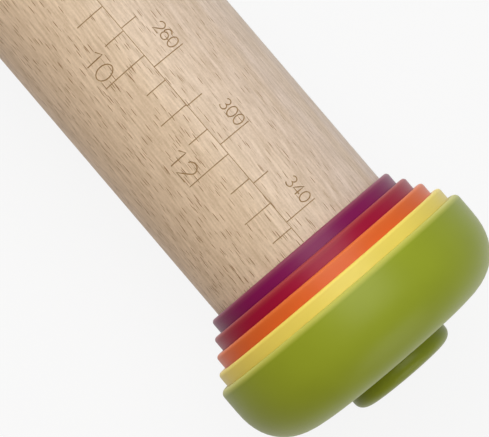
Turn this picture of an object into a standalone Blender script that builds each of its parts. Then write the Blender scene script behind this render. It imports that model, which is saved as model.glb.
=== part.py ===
"""Adjustable rolling pin, in metres, +Z up, with the pin's axis along +X.

A solid beech barrel carries five nested thickness discs at each end. A round knob with a
coarse screw clamps each stack against the barrel, and turns into an insert in the wood.
Take the knob off, keep only the discs that are wanted, and the barrel rolls dough to the
thickness by which the largest disc left stands proud of it.
"""

import math

import bmesh
import bpy
from mathutils import Matrix

# Barrel
BARREL_DIAMETER = 0.043
ROLLING_LENGTH = 0.3504
BARREL_EDGE_ROUND = 0.0028

# Nested discs: each stands RAISE_STEP further out than the one inside it
RAISE_STEP = 0.002
WEB_PITCH = 0.00305
CUP_DEPTH = 0.01525
RIM_ROUND = 0.0006
CAP_RIM_ROUND = 0.0011

# Knob and its screw
KNOB_DIAMETER = 0.0243
KNOB_HEIGHT = 0.0037
KNOB_EDGE_DEPTH = 0.0025
KNOB_EDGE_WIDTH = 0.0032
KNOB_LIP = 0.0009
KNOB_SKIN = 0.0009
HEX_ACROSS_FLATS = 0.013
SCREW_CORE_DIAMETER = 0.0104
THREAD_DIAMETER = 0.013
THREAD_PITCH = 0.004
THREAD_ROOT_WIDTH = 0.0026
THREAD_CREST_WIDTH = 0.0012
THREAD_LEAD_IN = 0.0012
SCREW_ENGAGEMENT = 0.014
SCREW_TIP_CHAMFER = 0.0008

# Insert in the end of the barrel
INSERT_DIAMETER = 0.018
INSERT_LENGTH = 0.020
FLANGE_DIAMETER = 0.023
FLANGE_THICKNESS = 0.0015
BARB_HEIGHT = 0.0006
SCREW_RUN_OUT = 0.0016

# Clearances
FIT_GAP = 0.0003
SCREW_CLEARANCE = 0.0003
WELD_DISTANCE = 0.00001

# How the turned shapes are faceted
TURN_STEPS = 32
INSERT_STEPS = 24
THREAD_STEPS = 16
CORNER_STEPS = 4
BARB_COUNT = 3
HEX_SIDES = 6

# A corner is a quarter of a superellipse, a little squarer than a circle, whose power is 2
CORNER_POWER = 2.3

DISC_NAMES = ("disc_2mm", "disc_4mm", "disc_6mm", "disc_8mm", "disc_10mm")
DISC_COLOURS = (
    (0.205, 0.016, 0.098),
    (0.340, 0.010, 0.032),
    (0.700, 0.110, 0.028),
    (0.780, 0.630, 0.110),
    (0.240, 0.300, 0.028),
)
BEECH_COLOUR = (0.690, 0.535, 0.390)
NYLON_COLOUR = (0.780, 0.770, 0.730)
INSERT_COLOUR = (0.150, 0.150, 0.155)

BARREL_RADIUS = BARREL_DIAMETER / 2
KNOB_RADIUS = KNOB_DIAMETER / 2
CORE_RADIUS = SCREW_CORE_DIAMETER / 2
CREST_RADIUS = THREAD_DIAMETER / 2
CLEAR_RADIUS = CREST_RADIUS + SCREW_CLEARANCE
INSERT_RADIUS = INSERT_DIAMETER / 2
FLANGE_RADIUS = FLANGE_DIAMETER / 2
HEX_RADIUS = HEX_ACROSS_FLATS / 2
WEB_THICKNESS = WEB_PITCH - FIT_GAP
STACK_DEPTH = len(DISC_NAMES) * WEB_PITCH

# Distances along the axis from the middle of the barrel
BARREL_END = ROLLING_LENGTH / 2 + CUP_DEPTH - FIT_GAP

# Distances outwards from the end face of the barrel
KNOB_SEAT = STACK_DEPTH + FIT_GAP
SCREW_TIP = -SCREW_ENGAGEMENT
BORE_BOTTOM = -(STACK_DEPTH + SCREW_ENGAGEMENT + SCREW_RUN_OUT)


def clear_scene():
    for obj in list(bpy.data.objects):
        bpy.data.objects.remove(obj, do_unlink=True)


def new_collection(name):
    collection = bpy.data.collections.new(name)
    bpy.context.scene.collection.children.link(collection)
    return collection


def plain_material(name, colour, roughness):
    material = bpy.data.materials.new(name)
    material.use_nodes = True
    shader = material.node_tree.nodes["Principled BSDF"]
    shader.inputs["Base Color"].default_value = (*colour, 1)
    shader.inputs["Roughness"].default_value = roughness
    shader.inputs["Metallic"].default_value = 0
    return material


def place(name, mesh, collection, parent, outwards, material):
    """Puts a mesh under its end's empty, this far outwards along the axis."""
    obj = bpy.data.objects.new(name, mesh)
    collection.objects.link(obj)
    obj.parent = parent
    obj.location = (0, 0, outwards)
    if material:
        mesh.materials.append(material)
    return obj


def cutter(name, mesh, collection, parent, outwards):
    obj = place(name, mesh, collection, parent, outwards, None)
    obj.hide_render = True
    obj.display_type = "WIRE"
    return obj


def cut(obj, tool):
    boolean = obj.modifiers.new(tool.name, "BOOLEAN")
    boolean.operation = "DIFFERENCE"
    boolean.object = tool


def to_corners(radius, sides):
    """How far the corners of a faceted round lie from its axis when its flats lie at this radius."""
    return radius / math.cos(math.pi / sides)


def profile_mesh(name, outline, closed, steps):
    """Edges through (radius, height) points, which turn() then sweeps about Z in as many steps."""
    mesh = bpy.data.meshes.new(name)
    count = len(outline)
    points = [(to_corners(radius, steps), 0, height) for radius, height in outline]
    edges = [(i, (i + 1) % count) for i in range(count if closed else count - 1)]
    mesh.from_pydata(points, edges, [])
    return mesh


def turn(obj, steps):
    screw = obj.modifiers.new("turned", "SCREW")
    screw.axis = "Z"
    screw.angle = math.tau
    screw.steps = steps
    screw.render_steps = steps
    screw.use_merge_vertices = True
    screw.merge_threshold = WELD_DISTANCE
    screw.use_smooth_shade = True


def corner(radius, height, width, depth):
    """Points of a rounded outer corner, from the end face down to the side, about its centre."""
    points = []
    for step in range(CORNER_STEPS + 1):
        angle = math.pi / 2 * step / CORNER_STEPS
        across = math.sin(angle) ** (2 / CORNER_POWER)
        along = math.cos(angle) ** (2 / CORNER_POWER)
        points.append((radius + width * across, height + depth * along))
    return points


def disc_outline(outer_radius, edge_round, rim_round):
    """A cup: its web's inner face is at height zero and its rim points inwards over the barrel."""
    inner_radius = outer_radius - RAISE_STEP + FIT_GAP
    inner_round = edge_round - RAISE_STEP + FIT_GAP
    centre_radius = outer_radius - edge_round
    outside = corner(centre_radius, WEB_THICKNESS - edge_round, edge_round, edge_round)
    inside = corner(centre_radius, -inner_round, inner_round, inner_round)
    rim = [
        (outer_radius, rim_round - CUP_DEPTH),
        (outer_radius - rim_round, -CUP_DEPTH),
        (inner_radius, -CUP_DEPTH),
    ]
    hole = [(CLEAR_RADIUS, 0), (CLEAR_RADIUS, WEB_THICKNESS)]
    return outside + rim + inside[::-1] + hole


def make_discs(side, collection, parent, materials):
    for index, name in enumerate(DISC_NAMES):
        raised = (index + 1) * RAISE_STEP
        last = index == len(DISC_NAMES) - 1
        outline = disc_outline(
            BARREL_RADIUS + raised,
            BARREL_EDGE_ROUND + raised,
            CAP_RIM_ROUND if last else RIM_ROUND,
        )
        mesh = profile_mesh(f"{side}_{name}", outline, True, TURN_STEPS)
        outwards = FIT_GAP + index * WEB_PITCH
        disc = place(mesh.name, mesh, collection, parent, outwards, materials[name])
        turn(disc, TURN_STEPS)


def knob_outline():
    side_height = KNOB_HEIGHT - KNOB_EDGE_DEPTH
    edge = corner(KNOB_RADIUS - KNOB_EDGE_WIDTH, side_height, KNOB_EDGE_WIDTH, KNOB_EDGE_DEPTH)
    return [(0, KNOB_HEIGHT)] + edge + [(KNOB_RADIUS, 0), (0, 0)]


def prism_mesh(name, radius, bottom, top, sides):
    """A round or six-sided prism about the axis, its flats at this radius, between two heights."""
    mesh = bpy.data.meshes.new(name)
    bm = bmesh.new()
    bmesh.ops.create_cone(
        bm,
        cap_ends=True,
        segments=sides,
        radius1=to_corners(radius, sides),
        radius2=to_corners(radius, sides),
        depth=top - bottom,
    )
    bmesh.ops.translate(bm, verts=bm.verts, vec=(0, 0, (top + bottom) / 2))
    bm.to_mesh(mesh)
    bm.free()
    return mesh


def make_knob(side, collection, cutters, parent, material):
    mesh = profile_mesh(f"{side}_knob", knob_outline(), False, TURN_STEPS)
    knob = place(mesh.name, mesh, collection, parent, KNOB_SEAT, material)
    turn(knob, TURN_STEPS)
    pocket = prism_mesh(
        f"{side}_knob_pocket",
        HEX_RADIUS + FIT_GAP,
        KNOB_LIP,
        KNOB_HEIGHT - KNOB_SKIN,
        HEX_SIDES,
    )
    neck = prism_mesh(
        f"{side}_knob_neck",
        CORE_RADIUS + FIT_GAP,
        -FIT_GAP,
        KNOB_LIP + FIT_GAP,
        THREAD_STEPS,
    )
    cut(knob, cutter(pocket.name, pocket, cutters, parent, KNOB_SEAT))
    cut(knob, cutter(neck.name, neck, cutters, parent, KNOB_SEAT))


def screw_core_outline(top):
    """The plain core, from its top inside the head down to the chamfered tip."""
    return [
        (0, top),
        (CORE_RADIUS, top),
        (CORE_RADIUS, SCREW_TIP + SCREW_TIP_CHAMFER),
        (CORE_RADIUS - SCREW_TIP_CHAMFER, SCREW_TIP),
        (0, SCREW_TIP),
    ]


def thread_mesh(name):
    """The thread's ridge: its section swept up a right-hand helix round the core."""
    buried = CORE_RADIUS - FIT_GAP
    first = SCREW_TIP + THREAD_LEAD_IN + THREAD_ROOT_WIDTH / 2
    last = STACK_DEPTH - THREAD_ROOT_WIDTH / 2
    steps = int((last - first) / THREAD_PITCH * THREAD_STEPS)
    angle = steps / THREAD_STEPS * math.tau
    climb = THREAD_PITCH / THREAD_STEPS
    mesh = bpy.data.meshes.new(name)
    bm = bmesh.new()
    section = [
        bm.verts.new((radius, 0, first + height))
        for radius, height in (
            (buried, -THREAD_ROOT_WIDTH / 2),
            (CREST_RADIUS, -THREAD_CREST_WIDTH / 2),
            (CREST_RADIUS, THREAD_CREST_WIDTH / 2),
            (buried, THREAD_ROOT_WIDTH / 2),
        )
    ]
    start = bm.faces.new(section)
    swept = bmesh.ops.duplicate(bm, geom=[start])["geom"]
    bmesh.ops.spin(
        bm,
        geom=swept,
        cent=(0, 0, 0),
        axis=(0, 0, 1),
        dvec=(0, 0, climb),
        angle=angle,
        steps=steps,
    )
    half_step = Matrix.Rotation(math.pi / THREAD_STEPS, 4, "Z")
    bmesh.ops.transform(bm, matrix=half_step, verts=bm.verts)
    bmesh.ops.remove_doubles(bm, verts=bm.verts, dist=WELD_DISTANCE)
    bmesh.ops.recalc_face_normals(bm, faces=bm.faces)
    bm.to_mesh(mesh)
    bm.free()
    return mesh


def join(obj, tool):
    boolean = obj.modifiers.new(tool.name, "BOOLEAN")
    boolean.operation = "UNION"
    boolean.object = tool


def make_screw(side, collection, cutters, parent, material):
    head_bottom = KNOB_SEAT + KNOB_LIP + FIT_GAP
    head_top = KNOB_SEAT + KNOB_HEIGHT - KNOB_SKIN - FIT_GAP
    outline = screw_core_outline(head_bottom + FIT_GAP)
    core = profile_mesh(f"{side}_knob_screw", outline, False, THREAD_STEPS)
    screw = place(core.name, core, collection, parent, 0, material)
    turn(screw, THREAD_STEPS)
    head = prism_mesh(f"{side}_screw_head", HEX_RADIUS, head_bottom, head_top, HEX_SIDES)
    thread = thread_mesh(f"{side}_screw_thread")
    join(screw, cutter(head.name, head, cutters, parent, 0))
    join(screw, cutter(thread.name, thread, cutters, parent, 0))


def insert_outline():
    """A flanged bush, its flange flush with the barrel's end and barbs along its shank."""
    shank_top = -FLANGE_THICKNESS
    barb_length = (INSERT_LENGTH - FLANGE_THICKNESS) / BARB_COUNT
    outline = [(CLEAR_RADIUS, 0), (FLANGE_RADIUS, 0), (FLANGE_RADIUS, shank_top)]
    for barb in range(BARB_COUNT):
        top = shank_top - barb * barb_length
        outline.append((INSERT_RADIUS, top))
        outline.append((INSERT_RADIUS - BARB_HEIGHT, top - barb_length))
    outline.append((CLEAR_RADIUS, -INSERT_LENGTH))
    return outline


def make_insert(side, collection, parent, material):
    mesh = profile_mesh(f"{side}_threaded_insert", insert_outline(), True, INSERT_STEPS)
    insert = place(mesh.name, mesh, collection, parent, 0, material)
    turn(insert, INSERT_STEPS)


def barrel_outline():
    """Half the barrel, from its middle out to the end and down the stepped bore."""
    edge_radius = BARREL_RADIUS - BARREL_EDGE_ROUND
    edge_height = BARREL_END - BARREL_EDGE_ROUND
    edge = corner(edge_radius, edge_height, BARREL_EDGE_ROUND, BARREL_EDGE_ROUND)
    flange_bore = FLANGE_RADIUS + FIT_GAP
    insert_bore = INSERT_RADIUS + FIT_GAP
    flange_floor = BARREL_END - FLANGE_THICKNESS - FIT_GAP
    insert_floor = BARREL_END - INSERT_LENGTH - FIT_GAP
    bore = [
        (flange_bore, BARREL_END),
        (flange_bore, flange_floor),
        (insert_bore, flange_floor),
        (insert_bore, insert_floor),
        (CLEAR_RADIUS, insert_floor),
        (CLEAR_RADIUS, BARREL_END + BORE_BOTTOM),
        (0, BARREL_END + BORE_BOTTOM),
    ]
    return bore[::-1] + edge + [(BARREL_RADIUS, 0)]


def make_barrel(collection, parent, material):
    mesh = profile_mesh("barrel", barrel_outline(), False, TURN_STEPS)
    barrel = place(mesh.name, mesh, collection, parent, 0, material)
    turn(barrel, TURN_STEPS)
    mirror = barrel.modifiers.new("other_half", "MIRROR")
    mirror.use_axis = (False, False, True)
    mirror.merge_threshold = WELD_DISTANCE


def axis_empty(name, collection, along, direction):
    """An empty on the pin's axis whose Z points outwards, with a flat facet facing down."""
    empty = bpy.data.objects.new(name, None)
    collection.objects.link(empty)
    empty.location = (along, 0, 0)
    empty.rotation_mode = "XYZ"
    empty.rotation_euler = (0, direction * math.pi / 2, 0)
    facet = bpy.data.objects.new(f"{name}_facet", None)
    collection.objects.link(facet)
    facet.parent = empty
    facet.rotation_euler = (0, 0, math.pi / TURN_STEPS)
    return facet


def main():
    clear_scene()
    pin = new_collection("adjustable_rolling_pin")
    cutters = new_collection("cutters")
    beech = plain_material("beech", BEECH_COLOUR, 0.55)
    nylon = plain_material("screw_nylon", NYLON_COLOUR, 0.4)
    insert = plain_material("insert_nylon", INSERT_COLOUR, 0.5)
    plastics = {
        name: plain_material(f"{name}_plastic", colour, 0.35)
        for name, colour in zip(DISC_NAMES, DISC_COLOURS)
    }
    make_barrel(pin, axis_empty("barrel_axis", pin, 0, 1), beech)
    for side, direction in (("right", 1), ("left", -1)):
        end = axis_empty(f"{side}_axis", pin, direction * BARREL_END, direction)
        make_insert(side, pin, end, insert)
        make_discs(side, pin, end, plastics)
        make_knob(side, pin, cutters, end, plastics[DISC_NAMES[-1]])
        make_screw(side, pin, cutters, end, nylon)


main()
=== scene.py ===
"""The looks of an adjustable rolling pin: a beech barrel with nested coloured discs and a knob at each end.

The pin's axis is +X. It lies on its two largest discs and is seen from above, as laid on a white table.
"""

import math

import bmesh
import bpy
from mathutils import Matrix, Vector


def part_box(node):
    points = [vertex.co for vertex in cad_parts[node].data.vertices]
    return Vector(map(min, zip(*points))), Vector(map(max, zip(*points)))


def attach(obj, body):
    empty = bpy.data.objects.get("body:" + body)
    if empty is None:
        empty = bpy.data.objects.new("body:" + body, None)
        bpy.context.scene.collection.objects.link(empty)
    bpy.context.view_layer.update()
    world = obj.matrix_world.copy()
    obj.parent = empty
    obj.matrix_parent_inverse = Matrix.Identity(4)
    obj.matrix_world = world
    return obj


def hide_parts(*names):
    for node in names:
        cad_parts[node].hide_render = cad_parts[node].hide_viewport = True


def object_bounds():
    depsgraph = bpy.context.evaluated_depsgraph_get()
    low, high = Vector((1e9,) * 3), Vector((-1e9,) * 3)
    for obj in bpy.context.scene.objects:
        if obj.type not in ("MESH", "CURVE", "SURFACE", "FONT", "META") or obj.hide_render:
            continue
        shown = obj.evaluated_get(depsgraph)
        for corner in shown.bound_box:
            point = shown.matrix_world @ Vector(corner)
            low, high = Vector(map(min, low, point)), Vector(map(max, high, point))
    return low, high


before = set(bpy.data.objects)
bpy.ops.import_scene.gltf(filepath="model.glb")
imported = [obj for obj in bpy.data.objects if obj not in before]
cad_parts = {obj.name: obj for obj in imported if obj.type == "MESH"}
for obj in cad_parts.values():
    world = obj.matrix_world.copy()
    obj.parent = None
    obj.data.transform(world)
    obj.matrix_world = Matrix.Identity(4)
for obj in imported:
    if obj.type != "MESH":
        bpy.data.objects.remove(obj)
cad_low, cad_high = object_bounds()

# The white table that the pin lies on, under a long soft lamp that reaches out over the barrel's side.
# The table is a matt sheet that takes the pin's shadow, and where it is seen it is lifted towards white.
# A gloss mirrors the table bright beside the pin and dim far off, more so on the side away from the lamp.
TABLE_SIZE = 6.0
TABLE_COLOUR = (0.66, 0.66, 0.66, 1)
BACKGROUND = (0.975, 0.975, 0.975, 1)
TABLE_LIFT = 0.90
TABLE_NEAR = 0.5
TABLE_FAR = 1.4
AMBIENT_WARM = (0.370, 0.285, 0.212, 1)
AMBIENT_COOL = (0.225, 0.258, 0.300, 1)

# How bright a gloss mirrors the table at each distance across it, and the room round it in each direction
MIRRORED_TABLE = (
    (-0.40, 0.12),
    (-0.11, 0.42),
    (-0.05, 0.80),
    (0.05, 1.05),
    (0.11, 0.80),
    (0.40, 0.60),
)
MIRRORED_HORIZON = ((-0.8, 0.09), (0.8, 0.60))
MIRRORED_CEILING = ((-0.8, 0.10), (0.8, 0.24))
CEILING_FOOT = 0.50

# Each lamp's place, length, width, power and colour
COOL_LIGHT = (0.98, 1.0, 1.0)
WHITE_LIGHT = (1.0, 1.0, 1.0)
LAMPS = {
    "softbox": ((-0.70, 0.20, 0.84), 2.4, 1.15, 19.5, COOL_LIGHT),
    "softbox_end": ((0.20, 0.30, 1.30), 0.34, 1.0, 2.8, COOL_LIGHT),
    "end_fill": ((1.15, 0.10, 0.30), 0.7, 0.7, 2.6, WHITE_LIGHT),
}


def add(tree, kind, inputs=None, **settings):
    """A shader node with these settings, whose inputs take a value or another node's socket."""
    node = tree.nodes.new("ShaderNode" + kind)
    for name, value in settings.items():
        setattr(node, name, value)
    for name, value in (inputs or {}).items():
        if isinstance(value, bpy.types.NodeSocket):
            tree.links.new(value, node.inputs[name])
        else:
            node.inputs[name].default_value = value
    return node


def ranged(tree, value, low, high, to_low, to_high):
    """The value taken from one range to another and held at its ends."""
    span = {"Value": value, "From Min": low, "From Max": high, "To Min": to_low, "To Max": to_high}
    return add(tree, "MapRange", span).outputs[0]


def times(tree, first, second):
    return add(tree, "Math", {0: first, 1: second}, operation="MULTIPLY").outputs[0]


def mixed(tree, share, first, second):
    """One colour blended into another."""
    colours = {"Factor": share, "A": first, "B": second}
    mix = tree.nodes.new("ShaderNodeMix")
    mix.data_type = "RGBA"
    for socket in mix.inputs:
        if socket.type == "RGBA" or socket.identifier == "Factor_Float":
            value = colours[socket.name]
            if isinstance(value, bpy.types.NodeSocket):
                tree.links.new(value, socket)
            else:
                socket.default_value = value
    return next(socket for socket in mix.outputs if socket.type == "RGBA")


def level(tree, value, stops):
    """The grey read off a line of stops, each a value and its grey."""
    low, high = stops[0][0], stops[-1][0]
    ramp = add(tree, "ValToRGB", {"Fac": ranged(tree, value, low, high, 0, 1)})
    points = ramp.color_ramp.elements
    for place, grey in stops:
        share = (place - low) / (high - low)
        point = points[0] if share == 0 else points[-1] if share == 1 else points.new(share)
        point.color = (grey, grey, grey, 1)
    return ramp.outputs[0]


def seen_share(tree, path, direct):
    """One where a gloss mirrors the surface, direct where the eye sees it, zero where it lights others."""
    through = {0: path.outputs["Is Camera Ray"], 1: path.outputs["Is Transmission Ray"]}
    eye = add(tree, "Math", through, operation="MAXIMUM").outputs[0]
    either = {0: times(tree, eye, direct), 1: path.outputs["Is Glossy Ray"]}
    return add(tree, "Math", either, operation="MAXIMUM").outputs[0]


def lit_and_seen(tree, output, share, lighting, seen):
    """Ends the tree with how it lights other things and, by this share, how it is itself seen."""
    mix = add(tree, "MixShader", {0: share, 1: lighting.outputs[0], 2: seen.outputs[0]})
    add(tree, output, {"Surface": mix.outputs[0]})


def white_world():
    world = bpy.data.worlds.new("studio")
    bpy.context.scene.world = world
    world.use_nodes = True
    tree = world.node_tree
    tree.nodes.clear()
    path = add(tree, "LightPath")
    direction = add(tree, "SeparateXYZ", {0: add(tree, "TexCoord").outputs["Generated"]})
    height = ranged(tree, direction.outputs["Z"], 0, CEILING_FOOT, 0, 1)
    horizon = level(tree, direction.outputs["Y"], MIRRORED_HORIZON)
    mirrored = mixed(tree, height, horizon, level(tree, direction.outputs["Y"], MIRRORED_CEILING))
    colour = mixed(tree, path.outputs["Is Glossy Ray"], BACKGROUND, mirrored)
    across = ranged(tree, direction.outputs["Y"], -1, 1, 0, 1)
    ambient = add(tree, "Background", {"Color": mixed(tree, across, AMBIENT_WARM, AMBIENT_COOL)})
    seen = add(tree, "Background", {"Color": colour})
    lit_and_seen(tree, "OutputWorld", seen_share(tree, path, 1), ambient, seen)


def table_material():
    material = bpy.data.materials.new("white_table")
    material.use_nodes = True
    tree = material.node_tree
    tree.nodes.clear()
    path = add(tree, "LightPath")
    place = add(tree, "TexCoord").outputs["Object"]
    across = add(tree, "SeparateXYZ", {0: place}).outputs["Y"]
    distance = add(tree, "VectorMath", {0: place}, operation="LENGTH").outputs["Value"]
    mirrored = level(tree, across, MIRRORED_TABLE)
    colour = mixed(tree, path.outputs["Is Glossy Ray"], BACKGROUND, mirrored)
    matt = add(tree, "BsdfDiffuse", {"Color": TABLE_COLOUR})
    glow = add(tree, "Emission", {"Color": colour})
    lift = ranged(tree, distance, TABLE_NEAR, TABLE_FAR, TABLE_LIFT, 1)
    lit_and_seen(tree, "OutputMaterial", seen_share(tree, path, lift), matt, glow)
    return material


def soft_lamp(name, place, length, width, power, colour):
    """A rectangular lamp that faces the middle of the pin, its length level with the table."""
    light = bpy.data.lights.new(name, "AREA")
    light.shape = "RECTANGLE"
    light.size = length
    light.size_y = width
    light.energy = power
    light.color = colour
    lamp = bpy.data.objects.new(name, light)
    bpy.context.scene.collection.objects.link(lamp)
    lamp.visible_camera = False
    outward = Vector(place).normalized()
    across = outward.cross((1, 0, 0)).normalized()
    along = across.cross(outward)
    turn = Matrix((along, -across, outward)).transposed()
    lamp.matrix_world = Matrix.Translation(place) @ turn.to_4x4()


table_mesh = bpy.data.meshes.new("table")
table_bm = bmesh.new()
bmesh.ops.create_grid(table_bm, x_segments=1, y_segments=1, size=TABLE_SIZE / 2)
bmesh.ops.translate(table_bm, verts=table_bm.verts, vec=(0, 0, cad_low.z))
table_bm.to_mesh(table_mesh)
table_bm.free()
table_mesh.materials.append(table_material())
table = bpy.data.objects.new("table", table_mesh)
bpy.context.scene.collection.objects.link(table)
white_world()
for lamp_name, settings in LAMPS.items():
    soft_lamp(lamp_name, *settings)

# The camera hangs half a metre up over the right-hand discs and looks almost straight down, a little towards
# the middle of the pin. It is turned so that the pin runs to the lower right of the picture.
PICTURE_WIDTH = 489
SENSOR_WIDTH = 36.0
PIXELS_PER_METRE = 4897.0
CAMERA_HEIGHT = 0.520
CAMERA_ALONG = 0.1758
AIM_ALONG = 0.1636
AIM_ACROSS = -0.0047
PIN_ANGLE = math.radians(49.54)

camera_data = bpy.data.cameras.new("camera")
camera_data.sensor_width = SENSOR_WIDTH
camera_data.lens = SENSOR_WIDTH * PIXELS_PER_METRE * CAMERA_HEIGHT / PICTURE_WIDTH
camera = bpy.data.objects.new("camera", camera_data)
bpy.context.scene.collection.objects.link(camera)
bpy.context.scene.camera = camera
camera_place = Vector((CAMERA_ALONG, 0, CAMERA_HEIGHT))
backward = (camera_place - Vector((AIM_ALONG, AIM_ACROSS, 0))).normalized()
rightward = Vector((math.cos(PIN_ANGLE), math.sin(PIN_ANGLE), 0))
rightward = (rightward - rightward.dot(backward) * backward).normalized()
upward = backward.cross(rightward)
camera_turn = Matrix((rightward, upward, backward)).transposed()
camera.matrix_world = Matrix.Translation(camera_place) @ camera_turn.to_4x4()
bpy.context.scene.view_settings.view_transform = "Standard"

# The barrel is one length of beech, turned on a lathe with its end edges rounded, then sanded and oiled.
# Its ends are bored for the inserts. The grain runs along it, a little askew, with short brown flecks.
TURN_STEPS = 256
SHARP_ANGLE = math.radians(35)
CORNER_POWER = 2.3
CORNER_STEPS = 14
WELD = 1e-6
BARREL_EDGE_ROUND = 0.0028
FLANGE_HOLE_DEPTH = 0.0016
SHANK_HOLE_RADIUS = 0.00925
SCREW_HOLE_RADIUS = 0.0068
SCREW_HOLE_DEPTH = 0.03085
INSERT_FIT = 0.00015
BEECH_PALE = (0.806, 0.634, 0.464, 1)
BEECH_DEEP = (0.682, 0.515, 0.352, 1)
BEECH_PINK_GREY = (0.775, 0.635, 0.545, 1)
BEECH_FLECK = (0.220, 0.100, 0.018, 1)
BEECH_FIBRE = (0.365, 0.245, 0.135, 1)
BEECH_GLOSS = 0.45
BEECH_ROUGHNESS = 0.5
BEECH_UNEVENNESS = 0.06

# Strength and depth of the hollows where the wood's pores and flecks lie
BEECH_RELIEF = (0.35, 0.00004)

# The grain's turn about the seen end of the barrel, how far it wanders, and the log that it grew in
GRAIN_TURN = math.radians(2.2)
GRAIN_TURN_PLACE = (0, -0.0046, 0)
GRAIN_WANDER = 0.0014
PITH_PLACE = (0, 0.034, 0.082)
LOG_SHARES = (0.12, 1, 1)
RINGS = {"Scale": 110, "Distortion": 2.5, "Detail": 2.0, "Detail Scale": 0.6}

# Each pattern's repeats a metre along the grain and across it, and its detail
DRIFT = (30, 60, 1.0)
STREAKS = (16, 400, 3.0)
FIBRES = (170, 2000, 3.0)
MOTTLE = (2600, 2600, 1.0)
PORES = (400, 6500, 1.0)

# The patterns' turn, the greys between which they mostly lie, and the middle of a coloured one
PATTERN_TURN = (0.6, 0.5, 0.4)
PATTERN_LOW = 0.3
PATTERN_HIGH = 0.7
PATTERN_MIDDLE = (0.5, 0.5, 0.5)

# Repeats of the flecks along and across, how far a fleck's core and its edge reach, and the share left out
BOLD_FLECKS = (225, 3700, 0.19, 0.29, 0.25)
FAINT_FLECKS = (230, 4200, 0.05, 0.28, 0)

# Across the barrel, from one place to another: how bold the flecks are, and the share of a paler pinkish
# grey
BOLDNESS_ACROSS = (-0.019, 0.019, 2.5, 0.6)
PINK_GREY_ACROSS = (-0.002, 0.014, 0, 1)

# The most that each pattern tints the wood
STREAK_SHARE = 0.55
RING_SHARE = 0.20
FIBRE_SHARE = 0.48
MOTTLE_SHARE = 0.3
FAINT_SHARE = 0.45
BOLD_SHARE = 0.95

barrel_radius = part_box("barrel")[1].z
barrel_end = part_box("barrel")[1].x
insert_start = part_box("right_threaded_insert")[0].x
flange_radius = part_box("right_threaded_insert")[1].z


def corner(along, radius, depth, width):
    """A quarter of a squarish oval about its centre, from the end face round to the side."""
    points = []
    for step in range(CORNER_STEPS + 1):
        angle = math.pi / 2 * step / CORNER_STEPS
        reach = math.cos(angle) ** (2 / CORNER_POWER)
        rise = math.sin(angle) ** (2 / CORNER_POWER)
        points.append((along + depth * reach, radius + width * rise))
    return points


def shown(name, mesh):
    """An object for a finished mesh, smooth except at its true edges."""
    mesh.name = name
    mesh.shade_smooth()
    mesh.set_sharp_from_angle(angle=SHARP_ANGLE)
    piece = bpy.data.objects.new(name, mesh)
    bpy.context.scene.collection.objects.link(piece)
    return piece


def spun(outline, closed=True):
    """The mesh of an outline of (along, radius) points turned once round the pin's axis."""
    bm = bmesh.new()
    verts = [bm.verts.new((along, 0, radius)) for along, radius in outline]
    ends = verts[1:] + verts[:1] if closed else verts[1:]
    edges = [bm.edges.new(pair) for pair in zip(verts, ends)]
    bmesh.ops.spin(
        bm,
        geom=verts + edges,
        cent=(0, 0, 0),
        axis=(1, 0, 0),
        angle=math.tau,
        steps=TURN_STEPS,
        use_merge=True,
    )
    bmesh.ops.remove_doubles(bm, verts=bm.verts, dist=WELD)
    bmesh.ops.recalc_face_normals(bm, faces=bm.faces)
    mesh = bpy.data.meshes.new("turned")
    bm.to_mesh(mesh)
    bm.free()
    return mesh


def right_half():
    """The barrel's outline from the middle of its side out to the end and down the stepped bore."""
    edge = corner(
        barrel_end - BARREL_EDGE_ROUND,
        barrel_radius - BARREL_EDGE_ROUND,
        BARREL_EDGE_ROUND,
        BARREL_EDGE_ROUND,
    )
    flange_floor = barrel_end - FLANGE_HOLE_DEPTH
    shank_floor = insert_start - INSERT_FIT
    return edge[::-1] + [
        (barrel_end, flange_radius + INSERT_FIT),
        (flange_floor, flange_radius + INSERT_FIT),
        (flange_floor, SHANK_HOLE_RADIUS),
        (shank_floor, SHANK_HOLE_RADIUS),
        (shank_floor, SCREW_HOLE_RADIUS),
        (barrel_end - SCREW_HOLE_DEPTH, SCREW_HOLE_RADIUS),
        (barrel_end - SCREW_HOLE_DEPTH, 0),
    ]


def principled(name, roughness, gloss):
    material = bpy.data.materials.new(name)
    material.use_nodes = True
    tree = material.node_tree
    shader = tree.nodes["Principled BSDF"]
    shader.inputs["Roughness"].default_value = roughness
    shader.inputs["Specular IOR Level"].default_value = gloss
    return material, tree, shader


def stretched(tree, place, along, across):
    """Places scaled to this many repeats a metre each way, then turned so that no repeats line up."""
    scaled = {"Vector": place, "Scale": (along, across, across), "Rotation": PATTERN_TURN}
    return add(tree, "Mapping", scaled).outputs[0]


def noise(tree, place, along, across, detail, output="Fac"):
    spread = {"Vector": stretched(tree, place, along, across), "Scale": 1.0, "Detail": detail}
    return add(tree, "TexNoise", spread).outputs[output]


def flecks(tree, grain, along, across, core, edge, missing):
    """Spindle-shaped flecks of unlike strength: one where a fleck is darkest and zero between them."""
    cells = add(tree, "TexVoronoi", {"Vector": stretched(tree, grain, along, across), "Scale": 1.0})
    shape = ranged(tree, cells.outputs["Distance"], core, edge, 1, 0)
    strength = add(tree, "SeparateColor", {0: cells.outputs["Color"]}).outputs[0]
    return times(tree, shape, ranged(tree, strength, missing, 1, 0, 1))


def tint(tree, pattern, most, lift=0):
    """The share of a tint, from none where the pattern is low up to the most where it is high."""
    return ranged(tree, pattern, PATTERN_LOW + lift, PATTERN_HIGH + lift, 0, most)


def uneven_gloss(tree, shader, pattern, roughness, unevenness):
    """Makes the surface a little smoother and rougher from place to place."""
    smooth, rough = roughness - unevenness, roughness + unevenness
    uneven = ranged(tree, pattern, PATTERN_LOW, PATTERN_HIGH, smooth, rough)
    tree.links.new(uneven, shader.inputs["Roughness"])


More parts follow.
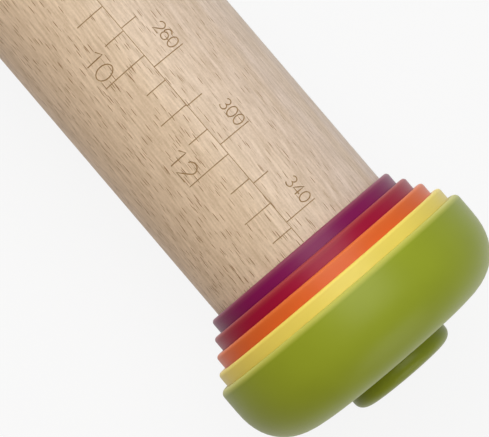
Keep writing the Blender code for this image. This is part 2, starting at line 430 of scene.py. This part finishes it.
def relief(tree, shader, height, strength, depth):
    bump = add(tree, "Bump", {"Height": height, "Strength": strength, "Distance": depth})
    tree.links.new(bump.outputs[0], shader.inputs["Normal"])


def vectors(tree, operation, first, second):
    return add(tree, "VectorMath", {0: first, 1: second}, operation=operation).outputs[0]


def along_grain(tree, place):
    """Places turned to lie along the grain, which wanders a little."""
    drift = noise(tree, place, *DRIFT, output="Color")
    centred = vectors(tree, "SUBTRACT", drift, PATTERN_MIDDLE)
    wander = vectors(tree, "MULTIPLY", centred, (0, GRAIN_WANDER, GRAIN_WANDER))
    turn = {"Vector": place, "Location": GRAIN_TURN_PLACE, "Rotation": (0, 0, GRAIN_TURN)}
    return vectors(tree, "ADD", add(tree, "Mapping", turn).outputs[0], wander)


def growth_rings(tree, grain):
    log = {"Vector": grain, "Location": PITH_PLACE, "Scale": LOG_SHARES}
    waves = {"Vector": add(tree, "Mapping", log).outputs[0], **RINGS}
    kinds = {"wave_type": "RINGS", "rings_direction": "X", "wave_profile": "SIN"}
    return add(tree, "TexWave", waves, **kinds).outputs["Fac"]


def beech_material():
    material, tree, shader = principled("oiled_beech", BEECH_ROUGHNESS, BEECH_GLOSS)
    place = add(tree, "TexCoord").outputs["Object"]
    side = add(tree, "SeparateXYZ", {0: place}).outputs["Y"]
    grain = along_grain(tree, place)
    mottled = {0: noise(tree, grain, *MOTTLE), 1: MOTTLE_SHARE, 2: noise(tree, grain, *FIBRES)}
    fibres = add(tree, "Math", mottled, operation="MULTIPLY_ADD").outputs[0]
    faint = flecks(tree, grain, *FAINT_FLECKS)
    bold = times(tree, flecks(tree, grain, *BOLD_FLECKS), ranged(tree, side, *BOLDNESS_ACROSS))
    # The wood is blended towards a paler pinkish grey on its +Y side.
    body = mixed(tree, ranged(tree, side, *PINK_GREY_ACROSS), BEECH_PALE, BEECH_PINK_GREY)
    layers = (
        (tint(tree, noise(tree, grain, *STREAKS), STREAK_SHARE), BEECH_DEEP),
        (times(tree, growth_rings(tree, grain), RING_SHARE), BEECH_DEEP),
        (tint(tree, fibres, FIBRE_SHARE, lift=MOTTLE_SHARE / 2), BEECH_FIBRE),
        (times(tree, faint, FAINT_SHARE), BEECH_FLECK),
        (times(tree, bold, BOLD_SHARE), BEECH_FLECK),
    )
    for share, colour in layers:
        body = mixed(tree, share, body, colour)
    tree.links.new(body, shader.inputs["Base Color"])
    pores = noise(tree, grain, *PORES)
    uneven_gloss(tree, shader, pores, BEECH_ROUGHNESS, BEECH_UNEVENNESS)
    height = add(tree, "Math", {0: pores, 1: bold}, operation="SUBTRACT").outputs[0]
    relief(tree, shader, height, *BEECH_RELIEF)
    return material


half_outline = right_half()
mirrored_outline = [(-along, radius) for along, radius in reversed(half_outline)]
barrel_mesh = spun(mirrored_outline + half_outline, closed=False)
barrel_mesh.materials.append(beech_material())

# The scale is burnt into the top of the barrel by a laser, in lines from 0.15 to 0.27 mm wide.
# It counts a sheet of dough from its middle: inches on one side of the spine, millimetres on the other.
TICK_WIDTH = 0.0002
SPINE_WIDTH = 0.00015
DIGIT_WIDTH = 0.00027
RADIUS_SHARE = 0.5
LONGEST_CHORD = 0.0013
SIDE_TILT = 0.01
SPINE_ACROSS = 0.0013
SPINE_END = 0.1752
BURNT_BROWN = (0.400, 0.265, 0.128, 1)
BURNT_ROUGHNESS = 0.8
BURNT_GLOSS = 0.3
SOOT = (900, 900, 2.0)
SOOT_SHARE = 0.4

# The dough spreads both ways, so an inch of it takes half an inch of pin on each side, and 20 mm takes 10
INCH_PITCH = 0.0127
HALF_INCHES = 27
INCH_TICKS = {"numbered": 0.0103, "whole": 0.0066, "half": 0.0048}
TWENTY_PITCH = 0.010
TWENTIES = 17
TWENTY_TICKS = {"numbered": 0.0075, "plain": 0.0038}

# How far a number's digits stand in from its tick and round from the top, and their height
INCH_DIGITS = (0.00264, -0.00910, 0.00415)
TWENTY_DIGITS = (0.00150, 0.00615, 0.00255)
DIGIT_PITCH_SHARE = 0.78


def arc(across, up, width, height, start, end, steps):
    """Points of part of an oval, in shares of a digit's height, between two angles in degrees."""
    points = []
    for step in range(steps + 1):
        angle = math.radians(start + (end - start) * step / steps)
        points.append((across + width * math.cos(angle), up + height * math.sin(angle)))
    return points


DIGIT_SHARES = {
    "0": [arc(0, 0.5, 0.325, 0.5, 90, 450, 20)],
    "1": [[(-0.24, 0.80), (0.08, 1), (0.08, 0)]],
    "2": [arc(0, 0.70, 0.30, 0.30, 165, -38, 9) + [(-0.30, 0), (0.30, 0)]],
    "3": [arc(-0.02, 0.755, 0.25, 0.245, 150, -90, 9) + arc(-0.02, 0.255, 0.29, 0.255, 78, -150, 9)],
    "4": [[(0.14, 0), (0.14, 1), (-0.34, 0.28), (0.34, 0.28)]],
    "6": [arc(0, 0.31, 0.31, 0.31, 90, 450, 14), arc(0.02, 0.60, 0.33, 0.40, 190, 35, 9)],
    "8": [arc(0, 0.755, 0.245, 0.245, -90, 270, 12), arc(0, 0.26, 0.30, 0.26, 90, 450, 14)],
}


def follows_round(stroke):
    """The stroke with points added wherever it would cut a chord through the barrel."""
    points = [stroke[0]]
    for start, end in zip(stroke, stroke[1:]):
        steps = max(1, math.ceil(abs(end[1] - start[1]) / LONGEST_CHORD))
        for step in range(1, steps + 1):
            share = step / steps
            along = start[0] + (end[0] - start[0]) * share
            points.append((along, start[1] + (end[1] - start[1]) * share))
    return points


def burn(strokes):
    """Thin tubes on the barrel's side, as one closed mesh: each has a width and (along, round) points."""
    curve = bpy.data.curves.new("burnt_lines", "CURVE")
    curve.dimensions = "3D"
    curve.bevel_depth = RADIUS_SHARE
    curve.bevel_resolution = 1
    curve.use_fill_caps = True
    for width, stroke in strokes:
        points = follows_round(stroke)
        closed = math.dist(points[0], points[-1]) < WELD
        points = points[:-1] if closed else points
        spline = curve.splines.new("POLY")
        spline.points.add(len(points) - 1)
        spline.use_cyclic_u = closed
        for point, (along, across) in zip(spline.points, points):
            angle = across / barrel_radius
            point.co = (along, barrel_radius * math.sin(angle), barrel_radius * math.cos(angle), 1)
            point.radius = width
    tubes = bpy.data.objects.new("burnt_lines", curve)
    bpy.context.scene.collection.objects.link(tubes)
    graph = bpy.context.evaluated_depsgraph_get()
    mesh = bpy.data.meshes.new_from_object(tubes.evaluated_get(graph))
    bpy.data.objects.remove(tubes)
    bm = bmesh.new()
    bm.from_mesh(mesh)
    bmesh.ops.remove_doubles(bm, verts=bm.verts, dist=WELD)
    bmesh.ops.recalc_face_normals(bm, faces=bm.faces)
    bm.to_mesh(mesh)
    bm.free()
    return mesh


def tick(along, length):
    return TICK_WIDTH, [(along, SPINE_ACROSS), (along, SPINE_ACROSS + length)]


def number(value, tick_along, side, inset, base, height):
    """The digits of a number on the middle's side of its tick, all reading towards the right end."""
    pitch = DIGIT_PITCH_SHARE * height
    digits = str(value)
    nearest = len(digits) - 1 if side > 0 else 0
    strokes = []
    for place, digit in enumerate(digits):
        centre = tick_along - side * inset + (place - nearest) * pitch
        for stroke in DIGIT_SHARES[digit]:
            points = [(centre + across * height, base + up * height) for across, up in stroke]
            strokes.append((DIGIT_WIDTH, points))
    return strokes


def scale_strokes():
    """The spine, then each side's ticks, with numbers at every second inch and at 20, 60, 100 mm and on."""
    strokes = [(SPINE_WIDTH, [(-SPINE_END, SPINE_ACROSS), (SPINE_END, SPINE_ACROSS)])]
    for side in (-1, 1):
        first = 0 if side > 0 else 1
        for half in range(first, HALF_INCHES + 1):
            along = side * half / 2 * INCH_PITCH
            numbered = half > 0 and half % 4 == 0
            kind = "numbered" if numbered else "whole" if half % 2 == 0 else "half"
            strokes.append(tick(along, -INCH_TICKS[kind]))
            if numbered:
                strokes += number(half // 2, along, side, *INCH_DIGITS)
        for twenty in range(first, TWENTIES + 1):
            along = side * twenty * TWENTY_PITCH
            numbered = twenty % 2 == 1
            strokes.append(tick(along, TWENTY_TICKS["numbered" if numbered else "plain"]))
            if numbered:
                strokes += number(twenty * 20, along, side, *TWENTY_DIGITS)
    return strokes


def combined(mesh, tool, operation, tangled=False):
    """The mesh with another cut from it or joined to it, each face keeping its own material."""
    piece = bpy.data.objects.new("piece", mesh)
    other = bpy.data.objects.new("tool", tool)
    for obj in (piece, other):
        bpy.context.scene.collection.objects.link(obj)
    boolean = piece.modifiers.new(operation, "BOOLEAN")
    boolean.operation = operation
    boolean.object = other
    boolean.use_self = tangled
    boolean.material_mode = "TRANSFER"
    graph = bpy.context.evaluated_depsgraph_get()
    result = bpy.data.meshes.new_from_object(piece.evaluated_get(graph))
    bpy.data.objects.remove(piece)
    bpy.data.objects.remove(other)
    bm = bmesh.new()
    bm.from_mesh(result)
    bmesh.ops.remove_doubles(bm, verts=bm.verts, dist=WELD)
    bmesh.ops.dissolve_degenerate(bm, edges=bm.edges, dist=WELD)
    bm.to_mesh(result)
    bm.free()
    return result


def round_normals(mesh):
    """Shades the barrel's cut side as the true cylinder, and leaves every other face as it is."""
    normals = []
    for face in mesh.polygons:
        on_side = abs(face.normal.x) < SIDE_TILT and face.material_index == 0
        for loop in face.loop_indices:
            place = mesh.vertices[mesh.loops[loop].vertex_index].co
            outward = Vector((0, place.y, place.z))
            true_round = on_side and outward.length > barrel_radius - WELD
            normals.append(outward.normalized() if true_round else (0, 0, 0))
    mesh.normals_split_custom_set(normals)


def burnt_material():
    material, tree, shader = principled("burnt_beech", BURNT_ROUGHNESS, BURNT_GLOSS)
    soot = noise(tree, add(tree, "TexCoord").outputs["Object"], *SOOT)
    colour = mixed(tree, tint(tree, soot, SOOT_SHARE), BURNT_BROWN, BEECH_FLECK)
    tree.links.new(colour, shader.inputs["Base Color"])
    return material


burnt_lines = burn(scale_strokes())
burnt_lines.materials.append(burnt_material())
barrel_mesh = combined(barrel_mesh, burnt_lines, "DIFFERENCE", tangled=True)
barrel = shown("beech_barrel", barrel_mesh)
round_normals(barrel.data)
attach(barrel, "barrel")
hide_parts("barrel")

# An insert is a dark nylon bush pressed into each end of the barrel, with a flange and three barbs.
# It has a coarse right-hand thread inside, which the knob's screw turns into.
SIDES = {"right": 1, "left": -1}
INSERT_SHANK_RADIUS = 0.0090
FLANGE_THICKNESS = 0.0015
FLANGE_EDGE = 0.0003
BARB_COUNT = 3
BARB_HEIGHT = 0.0006
THREAD_PITCH = 0.004
THREAD_STEPS = 48
THREAD_ROOT_WIDTH = 0.0026
THREAD_CREST_WIDTH = 0.0012
GROOVE_DEPTH = 0.0006
INSERT_GREY = (0.060, 0.060, 0.064, 1)
INSERT_ROUGHNESS = 0.45
INSERT_CLOUD_SHARE = 0.85
PLASTIC_GLOSS = 0.27
PLASTIC_UNEVENNESS = 0.04
CLOUDS = (55, 55, 3.0)
CLOUD_LOW = 0.35
CLOUD_HIGH = 0.65
SKIN = (5200, 5200, 2.0)
SKIN_RELIEF = (0.25, 0.00001)


def moulded_plastic(name, colour, roughness, cloud_share):
    """Satin injection-moulded plastic: a fine spark-eroded skin and a colour that is never quite even."""
    material, tree, shader = principled(name, roughness, PLASTIC_GLOSS)
    place = add(tree, "TexCoord").outputs["Object"]
    cloudy = ranged(tree, noise(tree, place, *CLOUDS), CLOUD_LOW, CLOUD_HIGH, 0, 1)
    clouded = tuple(channel * cloud_share for channel in colour[:3]) + (1,)
    tree.links.new(mixed(tree, cloudy, colour, clouded), shader.inputs["Base Color"])
    skin = noise(tree, place, *SKIN)
    uneven_gloss(tree, shader, skin, roughness, PLASTIC_UNEVENNESS)
    relief(tree, shader, skin, *SKIN_RELIEF)
    return material


def thread_ridge(start, end, inner, outer):
    """A right-hand thread's ridge: its section swept up a helix about the axis, with closed ends."""
    steps = int((end - start - THREAD_ROOT_WIDTH) / THREAD_PITCH * THREAD_STEPS)
    middle = start + THREAD_ROOT_WIDTH / 2
    bm = bmesh.new()
    section = [
        bm.verts.new((middle + along, 0, radius))
        for along, radius in (
            (-THREAD_ROOT_WIDTH / 2, inner),
            (-THREAD_CREST_WIDTH / 2, outer),
            (THREAD_CREST_WIDTH / 2, outer),
            (THREAD_ROOT_WIDTH / 2, inner),
        )
    ]
    first = bm.faces.new(section)
    swept = bmesh.ops.duplicate(bm, geom=[first])["geom"]
    bmesh.ops.spin(
        bm,
        geom=swept,
        cent=(0, 0, 0),
        axis=(1, 0, 0),
        dvec=(THREAD_PITCH / THREAD_STEPS, 0, 0),
        angle=steps / THREAD_STEPS * math.tau,
        steps=steps,
    )
    bmesh.ops.remove_doubles(bm, verts=bm.verts, dist=WELD)
    bmesh.ops.recalc_face_normals(bm, faces=bm.faces)
    mesh = bpy.data.meshes.new("thread")
    bm.to_mesh(mesh)
    bm.free()
    return mesh


def both_ends(name, mesh, material, body):
    """Puts the right-hand mesh at its end and a copy, turned end for end, at the other."""
    mesh.materials.clear()
    mesh.materials.append(material)
    for side, direction in SIDES.items():
        own = mesh.copy()
        if direction < 0:
            own.transform(Matrix.Rotation(math.pi, 4, "Z"))
        piece = shown(f"{side}_{name}_moulding", own)
        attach(piece, "barrel" if body == "barrel" else f"{side}_{body}")
        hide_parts(f"{side}_{name}")
    bpy.data.meshes.remove(mesh)


def insert_outline():
    flange_floor = barrel_end - FLANGE_THICKNESS
    barb_length = (flange_floor - insert_start) / BARB_COUNT
    outline = [
        (barrel_end, SCREW_HOLE_RADIUS + FLANGE_EDGE),
        (barrel_end, flange_radius - FLANGE_EDGE),
        (barrel_end - FLANGE_EDGE, flange_radius),
        (flange_floor, flange_radius),
    ]
    for barb in range(BARB_COUNT):
        top = flange_floor - barb * barb_length
        outline.append((top, INSERT_SHANK_RADIUS))
        outline.append((top - barb_length, INSERT_SHANK_RADIUS - BARB_HEIGHT))
    return outline + [
        (insert_start, SCREW_HOLE_RADIUS + FLANGE_EDGE),
        (insert_start + FLANGE_EDGE, SCREW_HOLE_RADIUS),
        (barrel_end - FLANGE_EDGE, SCREW_HOLE_RADIUS),
    ]


groove = thread_ridge(
    insert_start - THREAD_PITCH,
    barrel_end + THREAD_PITCH,
    SCREW_HOLE_RADIUS - GROOVE_DEPTH / 2,
    SCREW_HOLE_RADIUS + GROOVE_DEPTH,
)
insert_mesh = combined(spun(insert_outline()), groove, "DIFFERENCE")
insert_nylon = moulded_plastic("dark_nylon", INSERT_GREY, INSERT_ROUGHNESS, INSERT_CLOUD_SHARE)
both_ends("threaded_insert", insert_mesh, insert_nylon, "barrel")

# The discs are five nested cups moulded in satin plastic, each with a hole for the screw in its web.
# Each stands 2 mm further out than the one inside it; the outermost one's rim is rounded more.
DISC_FIT = 0.00012
WEB_GAP = 0.0002
RIM_ROUND = 0.0008
CAP_RIM_ROUND = 0.0013
RIM_STEPS = 6
HOLE_EDGE = 0.0003
# Painted highlight: each lip's colour is paled towards this, standing in for the gloss on the rounded rims.
LIP_HIGHLIGHT_COLOUR = (0.94, 0.79, 0.21, 1)
LIP_HIGHLIGHT_WIDTH = 0.0014
SATIN_ROUGHNESS = 0.38
SATIN_CLOUD_SHARE = 0.94

# Each disc's plastic, its colour, and how far its lip is paled as a painted highlight
DISCS = {
    "disc_2mm": ("plum_plastic", (0.207, 0.0025, 0.079, 1), 0.055),
    "disc_4mm": ("raspberry_plastic", (0.320, 0.0015, 0.031, 1), 0.05),
    "disc_6mm": ("orange_plastic", (0.685, 0.118, 0.018, 1), 0.045),
    "disc_8mm": ("lemon_plastic", (0.800, 0.635, 0.115, 1), 0.04),
    "disc_10mm": ("lime_plastic", (0.270, 0.321, 0.0165, 1), 0.36),
}

web_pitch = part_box("right_disc_4mm")[1].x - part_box("right_disc_2mm")[1].x
web_thickness = web_pitch - WEB_GAP


def rounded(along, radius, size, start, end):
    """Points of a quarter circle about its centre, between two angles in degrees from outwards."""
    points = []
    for step in range(RIM_STEPS + 1):
        angle = math.radians(start + (end - start) * step / RIM_STEPS)
        points.append((along + size * math.sin(angle), radius + size * math.cos(angle)))
    return points


def pale_lip(material, rim_along, share):
    """Paints a highlight on the cup's lip by paling its colour there, fading out past its rounding."""
    tree = material.node_tree
    shader = tree.nodes["Principled BSDF"]
    body = shader.inputs["Base Color"].links[0].from_socket
    place = add(tree, "SeparateXYZ", {0: add(tree, "TexCoord").outputs["Object"]})
    along = add(tree, "Math", {0: place.outputs["X"]}, operation="ABSOLUTE").outputs[0]
    lip = ranged(tree, along, rim_along, rim_along + LIP_HIGHLIGHT_WIDTH, share, 0)
    tree.links.new(mixed(tree, lip, body, LIP_HIGHLIGHT_COLOUR), shader.inputs["Base Color"])


def cup_outline(name, inside_radius, inside_round, rim_round):
    """A cup from its outer corner down to the rim, back up inside, and out through the hole."""
    low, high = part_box(name)
    outer_radius = high.z
    inner_radius = inside_radius + DISC_FIT
    outer_round = inside_round + outer_radius - inside_radius
    inner_round = inside_round + DISC_FIT
    web = high.x - web_thickness
    outside = corner(high.x - outer_round, outer_radius - outer_round, outer_round, outer_round)
    inside = corner(web - inner_round, inner_radius - inner_round, inner_round, inner_round)
    lip = min(rim_round, outer_radius - inner_radius) / 2
    return (
        outside
        + rounded(low.x + rim_round, outer_radius - rim_round, rim_round, 0, -90)
        + rounded(low.x + lip, inner_radius + lip, lip, -90, -180)
        + inside[::-1]
        + [
            (web, SCREW_HOLE_RADIUS + HOLE_EDGE),
            (web + HOLE_EDGE, SCREW_HOLE_RADIUS),
            (high.x - HOLE_EDGE, SCREW_HOLE_RADIUS),
            (high.x, SCREW_HOLE_RADIUS + HOLE_EDGE),
        ]
    )


nested_radius = barrel_radius
nested_round = BARREL_EDGE_ROUND
for name, (slot, colour, lip_highlight_share) in DISCS.items():
    outermost = name == list(DISCS)[-1]
    rim_round = CAP_RIM_ROUND if outermost else RIM_ROUND
    cup = spun(cup_outline(f"right_{name}", nested_radius, nested_round, rim_round))
    plastic = moulded_plastic(slot, colour, SATIN_ROUGHNESS, SATIN_CLOUD_SHARE)
    pale_lip(plastic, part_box(f"right_{name}")[0].x, lip_highlight_share)
    both_ends(name, cup, plastic, name)
    outer_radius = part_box(f"right_{name}")[1].z
    nested_round += outer_radius - nested_radius
    nested_radius = outer_radius

# The knob is a low round button moulded onto the screw's six-sided head, in the outermost disc's green
# painted darker as shade from that disc's rim.
# Its edge is well rounded and its face a little crowned; the hollow inside holds the head.
KNOB_EDGE_DEPTH = 0.0025
KNOB_EDGE_WIDTH = 0.0034
KNOB_CROWN = 0.00011
KNOB_FOOT_ROUND = 0.0003
KNOB_LIP = 0.0009
KNOB_SKIN = 0.0009
HEX_SIDES = 6
HEAD_ACROSS_FLATS = 0.013
HEAD_FIT = 0.0002
SCREW_CORE_RADIUS = 0.0052
# Painted shade: darker than the outermost disc's green, standing in for the shade that its rim casts on the
# knob.
KNOB_SHADED_GREEN = (0.212, 0.252, 0.010, 1)

knob_low, knob_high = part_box("right_knob")
head_start = knob_low.x + KNOB_LIP + HEAD_FIT
head_end = knob_high.x - KNOB_SKIN - HEAD_FIT


def knob_outline():
    """From the middle of the face over the rounded edge and down to the middle of the foot."""
    radius = knob_high.z
    face_radius = radius - KNOB_EDGE_WIDTH
    edge_start = knob_high.x - KNOB_CROWN - KNOB_EDGE_DEPTH
    edge = corner(edge_start, face_radius, KNOB_EDGE_DEPTH, KNOB_EDGE_WIDTH)
    crown = []
    for step in range(CORNER_STEPS):
        share = step / CORNER_STEPS
        crown.append((knob_high.x - KNOB_CROWN * share**2, face_radius * share))
    foot_start, foot_radius = knob_low.x + KNOB_FOOT_ROUND, radius - KNOB_FOOT_ROUND
    foot = rounded(foot_start, foot_radius, KNOB_FOOT_ROUND, 0, -90)
    return crown + edge + foot + [(knob_low.x, 0)]


def hexagon(start, end, across_flats):
    bm = bmesh.new()
    radius = across_flats / 2 / math.cos(math.pi / HEX_SIDES)
    bmesh.ops.create_cone(
        bm,
        cap_ends=True,
        segments=HEX_SIDES,
        radius1=radius,
        radius2=radius,
        depth=end - start,
        matrix=Matrix.Translation(((start + end) / 2, 0, 0)) @ Matrix.Rotation(math.pi / 2, 4, "Y"),
    )
    mesh = bpy.data.meshes.new("hexagon")
    bm.to_mesh(mesh)
    bm.free()
    return mesh


def rod(start, end, radius):
    """A plain round rod on the axis."""
    return spun([(end, 0), (end, radius), (start, radius), (start, 0)], closed=False)


pocket = hexagon(head_start - HEAD_FIT, head_end + HEAD_FIT, HEAD_ACROSS_FLATS + 2 * HEAD_FIT)
neck_hole = rod(knob_low.x - HEAD_FIT, head_start, SCREW_CORE_RADIUS + HEAD_FIT)
knob_mesh = combined(spun(knob_outline(), closed=False), pocket, "DIFFERENCE")
knob_mesh = combined(knob_mesh, neck_hole, "DIFFERENCE")
knob_plastic = moulded_plastic("lime_knob_shaded_plastic", KNOB_SHADED_GREEN, SATIN_ROUGHNESS, SATIN_CLOUD_SHARE)
both_ends("knob", knob_mesh, knob_plastic, "knob")

# The screw is moulded in natural nylon, with a coarse right-hand thread that suits plastic.
# Its six-sided head is held in the knob, and its chamfered tip finds the insert.
TIP_CHAMFER = 0.0008
THREAD_LEAD_IN = 0.0012
THREAD_RADIUS = 0.0065
BURIED = 0.0003
NYLON_WHITE = (0.70, 0.69, 0.65, 1)
NYLON_ROUGHNESS = 0.42
NYLON_CLOUD_SHARE = 0.95

screw_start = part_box("right_knob_screw")[0].x


def screw_mesh():
    """The core with its head, and the thread's ridge on it, its root a little buried in the core."""
    core = spun(
        [
            (head_start + BURIED, 0),
            (head_start + BURIED, SCREW_CORE_RADIUS),
            (screw_start + TIP_CHAMFER, SCREW_CORE_RADIUS),
            (screw_start, SCREW_CORE_RADIUS - TIP_CHAMFER),
            (screw_start, 0),
        ],
        closed=False,
    )
    thread = thread_ridge(
        screw_start + THREAD_LEAD_IN,
        knob_low.x - BURIED,
        SCREW_CORE_RADIUS - BURIED,
        THREAD_RADIUS,
    )
    headed = combined(core, hexagon(head_start, head_end, HEAD_ACROSS_FLATS), "UNION")
    return combined(headed, thread, "UNION")


nylon = moulded_plastic("natural_nylon", NYLON_WHITE, NYLON_ROUGHNESS, NYLON_CLOUD_SHARE)
both_ends("knob_screw", screw_mesh(), nylon, "knob")
